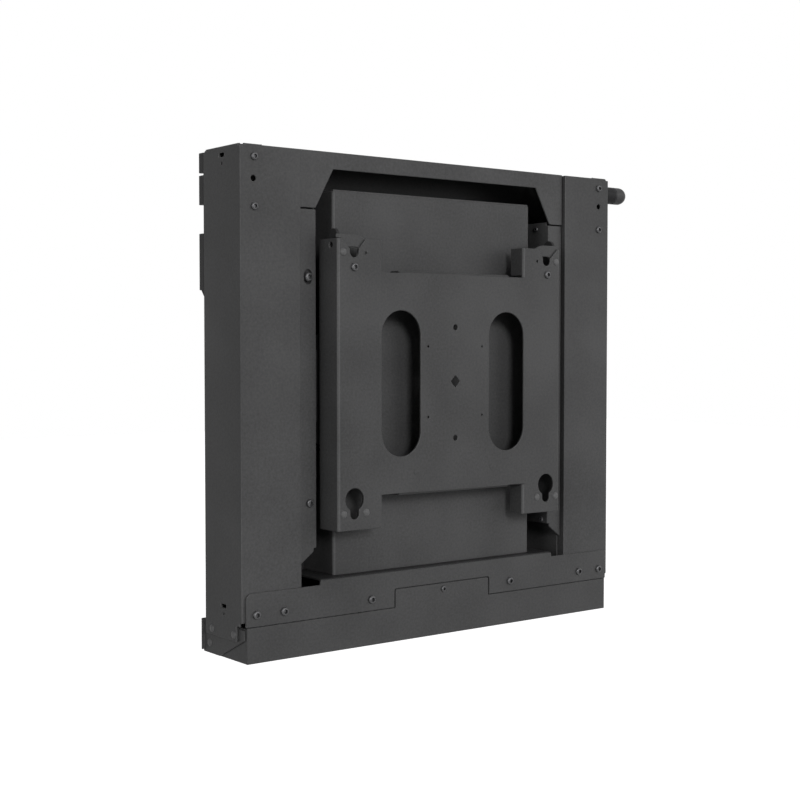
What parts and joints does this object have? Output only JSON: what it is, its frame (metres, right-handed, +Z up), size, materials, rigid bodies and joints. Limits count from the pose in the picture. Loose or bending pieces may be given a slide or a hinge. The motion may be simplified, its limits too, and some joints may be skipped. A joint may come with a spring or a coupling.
{
  "type": "motorized tv wall mount",
  "caption": "Shallow wall frame with a motor-driven carriage that slides a slotted square-pattern TV bracket up and down.",
  "frame": {"origin": "centre of the four wall bolt slots on the wall face, level with the middle of the TV pattern at rest", "axes": "+Y into the wall, +X to the viewer's right, +Z up"},
  "size_m": [0.4135, 0.079, 0.384],
  "materials": {
    "grey_coat": "fine textured matt powder coat",
    "dark_coat": "matt powder coat",
    "black_fastener": "blackened satin",
    "zinc": "zinc plated",
    "steel": "ground",
    "bronze": "turned",
    "black_plastic": "moulded",
    "rubber": "matt",
    "circuit_board": "solder mask"
  },
  "bodies": {
    "frame": {"wall_plate": "dark_coat", "wall_spacers": "zinc", "hanger_screws": "zinc", "back_panel": "dark_coat", "left_channel": "grey_coat", "right_channel": "grey_coat", "left_backing_plate": "dark_coat", "right_backing_plate": "dark_coat", "header": "grey_coat", "left_strip": "grey_coat", "right_strip": "grey_coat", "base_shelf": "dark_coat", "bottom_cover": "grey_coat", "bottom_tray": "grey_coat", "left_end_plate": "grey_coat", "right_end_plate": "grey_coat", "centre_box": "grey_coat", "guide_rods": "steel", "rod_blocks": "dark_coat", "rod_bumpers": "rubber", "screw_bearing_blocks": "dark_coat", "screw_bearings": "steel", "motor": "steel", "motor_gearbox": "zinc", "motor_bracket": "dark_coat", "control_board": "circuit_board", "board_standoffs": "zinc", "power_supply": "black_plastic", "limit_switches": "black_plastic", "cable_gland": "black_plastic", "gland_nut": "black_plastic", "channel_screws": "black_fastener", "strip_screws": "black_fastener", "cover_screws": "black_fastener", "end_rivets": "grey_coat"},
    "carriage": {"tv_bracket": "grey_coat", "keyhole_backers": "dark_coat", "left_carriage_plate": "dark_coat", "right_carriage_plate": "dark_coat", "carriage_arms": "dark_coat", "slide_blocks": "steel", "slide_bushings": "bronze", "cross_beam": "dark_coat", "drive_nut": "bronze", "carriage_screws": "zinc", "pivot_screws": "black_fastener", "bracket_rivets": "grey_coat"},
    "left_latch_arm": {"left_latch": "grey_coat"},
    "right_latch_arm": {"right_latch": "grey_coat"},
    "screw_shaft": {"lead_screw": "steel", "screw_gear": "black_plastic"},
    "pinion_shaft": {"motor_pinion": "steel"}
  },
  "joints": [
    {"name": "lift", "type": "slide", "parent": "frame", "child": "carriage", "axis": [0, 0, 1], "range_m": [-0.035, 0.033]},
    {"name": "screw_spin", "type": "hinge", "parent": "frame", "child": "screw_shaft", "pos_m": [0, -0.0303, 0], "axis": [0, 0, 1], "range_deg": [-2600, 2600]},
    {"name": "pinion_spin", "type": "hinge", "parent": "frame", "child": "pinion_shaft", "pos_m": [0.03, -0.0303, 0], "axis": [0, 0, 1], "range_deg": [-3900, 3900]},
    {"name": "left_latch_swing", "type": "hinge", "parent": "carriage", "child": "left_latch_arm", "pos_m": [-0.1004, -0.074, 0.0885], "axis": [0, 1, 0], "range_deg": [0, 85]},
    {"name": "right_latch_swing", "type": "hinge", "parent": "carriage", "child": "right_latch_arm", "pos_m": [0.1004, -0.074, 0.0885], "axis": [0, -1, 0], "range_deg": [0, 85]}
  ],
  "couplings": [
    {"joint": "screw_spin", "follows": "lift", "rad_per_m": 1256.6},
    {"joint": "pinion_spin", "follows": "lift", "rad_per_m": -1885}
  ]
}
